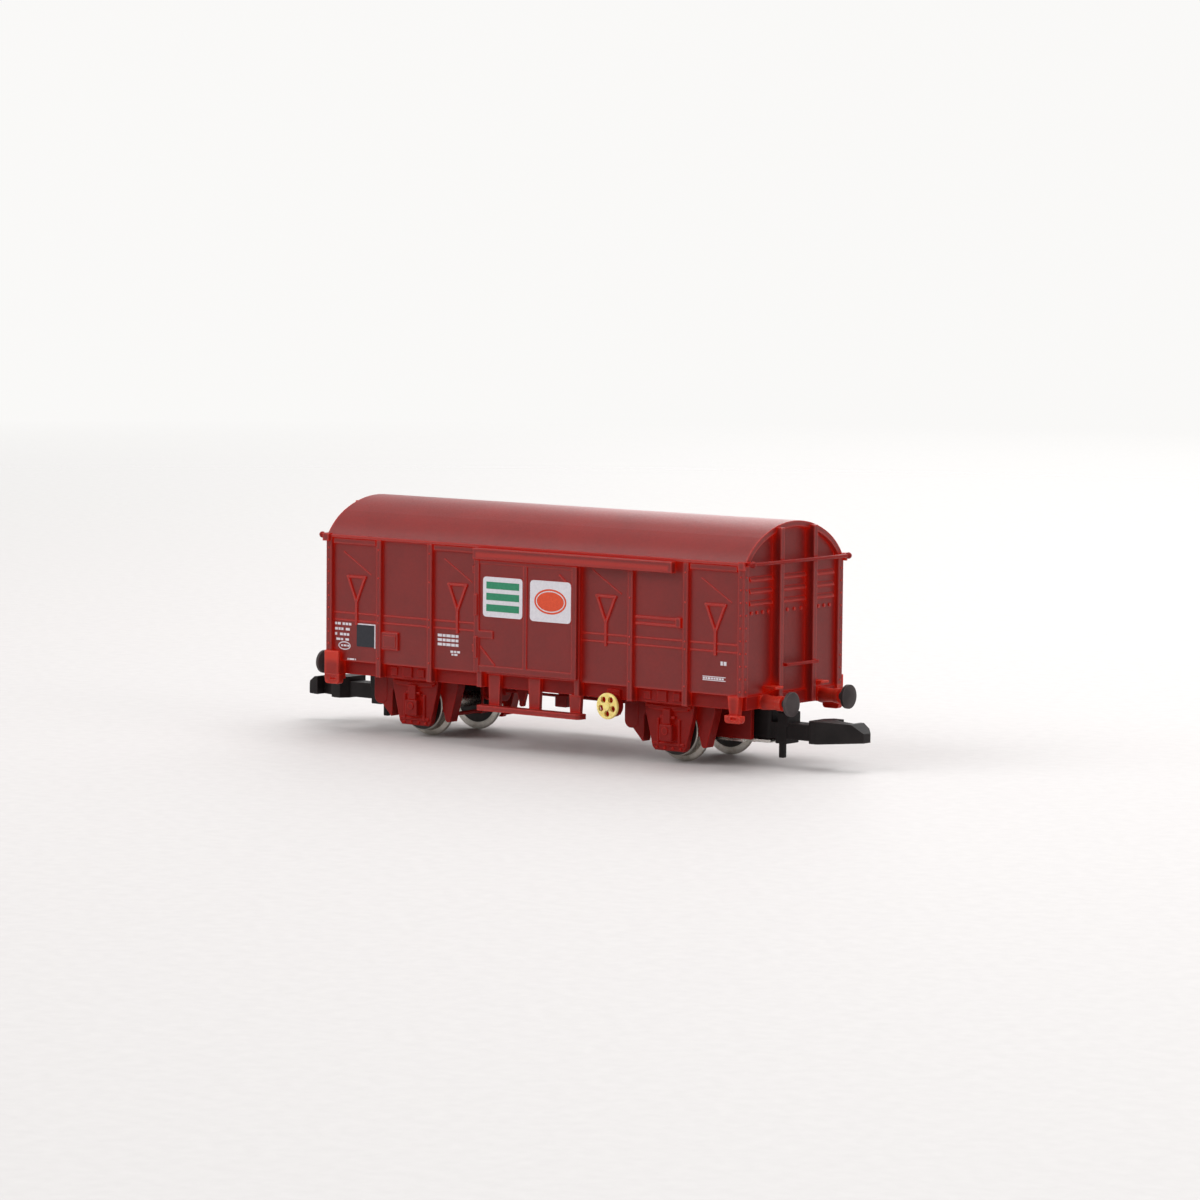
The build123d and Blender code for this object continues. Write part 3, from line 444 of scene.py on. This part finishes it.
# ---- printed marks ----
def rounded_rectangle(x0, z0, x1, z1, radius, steps=6):
    """Outline of a rectangle with round corners, counter-clockwise."""
    points = []
    corners = ((x1, z1, 0), (x0, z1, 90), (x0, z0, 180), (x1, z0, 270))
    for x, z, start in corners:
        cx = x - radius if x == x1 else x + radius
        cz = z - radius if z == z1 else z + radius
        for k in range(steps + 1):
            angle = math.radians(start + 90 * k / steps)
            points.append((cx + radius * math.cos(angle), cz + radius * math.sin(angle)))
    return points


def oval(x, z, half_x, half_z, steps=48):
    return [(x + half_x * math.cos(math.tau * k / steps), z + half_z * math.sin(math.tau * k / steps))
            for k in range(steps)]


def rectangle(x0, z0, x1, z1):
    return [(x0, z0), (x1, z0), (x1, z1), (x0, z1)]


def add_loop(shape, outline, depth):
    return [shape.verts.new((x * MM, -depth * MM, z * MM)) for x, z in outline]


def add_walls(shape, front, back):
    """Side faces between two loops of the same length."""
    for k in range(len(front)):
        j = (k + 1) % len(front)
        shape.faces.new((front[j], front[k], back[k], back[j]))


def finish_piece(name, shape, material, body, far):
    """Turn a bmesh into a piece; a far piece is turned by half a turn about Z."""
    bmesh.ops.recalc_face_normals(shape, faces=shape.faces)
    if far:
        bmesh.ops.rotate(shape, verts=shape.verts, cent=(0, 0, 0),
                         matrix=Matrix.Rotation(math.pi, 3, "Z"))
    mesh = bpy.data.meshes.new(name)
    shape.to_mesh(mesh)
    shape.free()
    mesh.materials.append(material)
    piece = bpy.data.objects.new(name, mesh)
    bpy.context.scene.collection.objects.link(piece)
    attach(piece, body)
    return piece


def printed(name, outlines, face_y, thickness, material, body, far, rings=()):
    """Thin raised print on a side: plates cut to outlines, and rings given as outer and inner loop."""
    shape = bmesh.new()
    for outline in outlines:
        front = add_loop(shape, outline, face_y + thickness)
        back = add_loop(shape, outline, face_y)
        shape.faces.new(front)
        shape.faces.new(list(reversed(back)))
        add_walls(shape, front, back)
    for outer, inner in rings:
        loops = [add_loop(shape, o, d) for o in (outer, inner) for d in (face_y + thickness, face_y)]
        for first, second in ((0, 1), (1, 3), (3, 2), (2, 0)):
            add_walls(shape, loops[first], loops[second])
    return finish_piece(name, shape, material, body, far)


def dashes(x0, z_top, widths, height, gap=0.08):
    """One row of short dashes that stands for lettering; a negative width is a blank."""
    row = []
    x = x0
    for width in widths:
        if width > 0:
            row.append(rectangle(x, z_top - height, x + width, z_top))
        x += abs(width) + gap
    return row


# ---- floor ----
FLOOR_HALF = 4.0
FADE_START = 0.10
FADE_END = 0.50


def make_floor():
    """Pale floor that fades into the room at a distance."""
    mesh = bpy.data.meshes.new("floor")
    shape = bmesh.new()
    corners = [shape.verts.new((x * FLOOR_HALF, y * FLOOR_HALF, 0))
               for x, y in ((-1, -1), (1, -1), (1, 1), (-1, 1))]
    shape.faces.new(corners)
    shape.to_mesh(mesh)
    shape.free()
    floor = bpy.data.objects.new("floor", mesh)
    bpy.context.scene.collection.objects.link(floor)
    n = Nodes("floor")
    place = n.add("ShaderNodeTexCoord")
    length = n.add("ShaderNodeVectorMath", operation="LENGTH")
    n.link(place.outputs["Object"], length.inputs[0])
    fade = n.remap(length.outputs["Value"], FADE_START, FADE_END)
    speck = n.noise(place.outputs["Object"], 900, 3)
    n.link(n.blend(n.remap(speck, 0.3, 0.7), (0.585, 0.566, 0.563), (0.615, 0.596, 0.592)),
           n.shader.inputs["Base Color"])
    n.set(Roughness=0.7)
    clear = n.add("ShaderNodeBsdfTransparent")
    mix = n.add("ShaderNodeMixShader")
    n.link(fade, mix.inputs[0])
    n.link(n.shader.outputs[0], mix.inputs[1])
    n.link(clear.outputs[0], mix.inputs[2])
    n.link(mix.outputs[0], n.tree.nodes["Material Output"].inputs["Surface"])
    mesh.materials.append(n.material)


# ---- marks and rivets; heights and places in millimetres, on the near side ----
SIDES = (("near", False), ("far", True))
SHEET_Y = 6.3
DOOR_Y = 6.93
SIGN_BACK_Y = DOOR_Y - 0.05
SIGN_FRONT_Y = DOOR_Y + 0.02
INK_THICKNESS = 0.012
STRIPE_HEIGHT = 0.56
OVAL_X = 2.56
OVAL_Z = 12.13


def door_signs(inks):
    """Two white sign panels on each door: green stripes on one, an orange oval on the other."""
    left = rounded_rectangle(-4.3, 10.55, -0.28, 13.75, 0.3)
    right = rounded_rectangle(0.5, 10.5, 4.62, 13.76, 0.35)
    stripes = [rectangle(-3.95, z, -0.6, z + STRIPE_HEIGHT) for z in (11.0, 11.9, 12.8)]
    disc = oval(OVAL_X, OVAL_Z, 1.36, 0.77)
    ring = (oval(OVAL_X, OVAL_Z, 1.62, 1.0), oval(OVAL_X, OVAL_Z, 1.46, 0.86))
    for side, far in SIDES:
        body = "door_" + side
        printed("sign_panels_" + side, [left, right], SIGN_BACK_Y, SIGN_FRONT_Y - SIGN_BACK_Y,
                inks["white"], body, far)
        printed("sign_stripes_" + side, stripes, SIGN_FRONT_Y, INK_THICKNESS, inks["green"], body, far)
        printed("sign_oval_" + side, [disc], SIGN_FRONT_Y, INK_THICKNESS, inks["orange"], body, far,
                [ring])


# start X, top Z, widths of the dashes (a negative one is a blank), height
MARK_ROWS = (
    (-20.45, 9.03, (0.22, 0.30, -0.05, 0.26, 0.26, 0.26), 0.2),
    (-20.45, 8.60, (0.30, 0.22, 0.22, -0.10, 0.42), 0.2),
    (-20.45, 8.17, (0.22, -0.16, 0.30, 0.30, 0.22), 0.2),
    (-20.30, 7.74, (0.42, 0.22, -0.10, 0.36), 0.18),
    (-19.78, 7.22, (0.20, 0.30, 0.20), 0.14),
    (-19.09, 6.14, (0.12, 0.52, 0.10), 0.13),
    (-9.5, 8.78, (0.44, 0.30, 0.44, 0.36, 0.30), 0.22),
    (-9.5, 8.42, (0.44, 0.30, 0.44, 0.36, 0.30), 0.22),
    (-9.5, 8.06, (0.44, 0.30, 0.44, 0.36, 0.30), 0.22),
    (-8.15, 7.50, (0.28, 0.24, 0.30), 0.17),
    (-8.05, 7.26, (0.20, 0.34), 0.15),
    (18.83, 8.50, (0.22, 0.26), 0.3),
)
BOARD_X0 = -18.1
BOARD_X1 = -16.22
BOARD_Z0 = 7.16
BOARD_Z1 = 8.96


def side_marks(inks):
    """Small white marks and the dark chalk board on each side."""
    marks = [dash for row in MARK_ROWS for dash in dashes(*row)]
    marks += [rectangle(17.12, z, 19.32, z + 0.06) for z in (6.96, 7.24)]
    marks += dashes(17.14, 7.20, (0.2, 0.16, 0.24, 0.2, 0.18, 0.22, 0.2, 0.18), 0.14, 0.06)
    marks += [rectangle(BOARD_X0 - 0.1, BOARD_Z1, BOARD_X1 + 0.12, BOARD_Z1 + 0.1),
              rectangle(BOARD_X1, BOARD_Z0 - 0.06, BOARD_X1 + 0.12, BOARD_Z1)]
    ring = (oval(-19.42, 7.14, 0.65, 0.34), oval(-19.42, 7.14, 0.57, 0.26))
    board = rectangle(BOARD_X0, BOARD_Z0, BOARD_X1, BOARD_Z1)
    for side, far in SIDES:
        printed("marks_" + side, marks, SHEET_Y, 0.015, inks["white"], "wagon", far, [ring])
        printed("chalk_board_" + side, [board], SHEET_Y, 0.03, inks["slate"], "wagon", far)


RIVET_RADIUS = 0.085


def dome(shape, centre, height, normal, rings=3, steps=10):
    """Low round rivet head that stands on a flat face."""
    normal = Vector(normal)
    side = normal.orthogonal().normalized()
    other = normal.cross(side)
    previous = None
    for ring in range(rings):
        angle = math.pi / 2 * ring / rings
        loop = []
        for k in range(steps):
            turn = math.tau * k / steps
            spoke = side * math.cos(turn) + other * math.sin(turn)
            offset = spoke * RIVET_RADIUS * math.cos(angle) + normal * height * math.sin(angle)
            loop.append(shape.verts.new((Vector(centre) + offset) * MM))
        if previous is None:
            shape.faces.new(loop)
        else:
            add_walls(shape, loop, previous)
        previous = loop
    tip = shape.verts.new((Vector(centre) + normal * height) * MM)
    for k in range(steps):
        shape.faces.new((previous[k], previous[(k + 1) % steps], tip))


POST_X = (-15.58, -10.19, 10.19, 15.58)
POST_RIVETS_Z = (9.25, 9.85, 12.9, 15.2, 6.35)
POST_Y = -6.6
CORNER_RIVETS = (
    (21.2, -6.28, (1, 0, 0)),
    (-21.2, -6.28, (-1, 0, 0)),
    (20.9, POST_Y, (0, -1, 0)),
    (-20.9, POST_Y, (0, -1, 0)),
)
LOWEST_RIVET_Z = 6.3
RIVET_PITCH = 0.98


def rivets(materials):
    """Rivet heads down the corner angles and the side posts of both sides."""
    for side, far in SIDES:
        shape = bmesh.new()
        for k in range(10):
            for x, y, normal in CORNER_RIVETS:
                dome(shape, (x, y, LOWEST_RIVET_Z + RIVET_PITCH * k), 0.06, normal)
        for x in POST_X:
            for z in POST_RIVETS_Z:
                dome(shape, (x, POST_Y, z), 0.05, (0, -1, 0))
        finish_piece("rivets_" + side, shape, materials["body_red"], "wagon", far)


def main():
    scene = bpy.context.scene
    scene.view_settings.view_transform = "Standard"
    scene.view_settings.look = "None"
    make_camera()
    make_world()
    for light in SOFTBOXES:
        softbox(*light)
    make_floor()
    materials = make_materials()
    finish_cad_nodes(materials)
    inks = {
        "white": ink("white_ink", (0.72, 0.70, 0.74), (0.60, 0.58, 0.63)),
        "green": ink("green_ink", (0.035, 0.26, 0.14), (0.02, 0.19, 0.095)),
        "orange": ink("orange_ink", (0.72, 0.085, 0.03), (0.58, 0.06, 0.022)),
        "slate": ink("slate_ink", (0.026, 0.027, 0.034), (0.018, 0.019, 0.026)),
    }
    door_signs(inks)
    side_marks(inks)
    rivets(materials)


main()
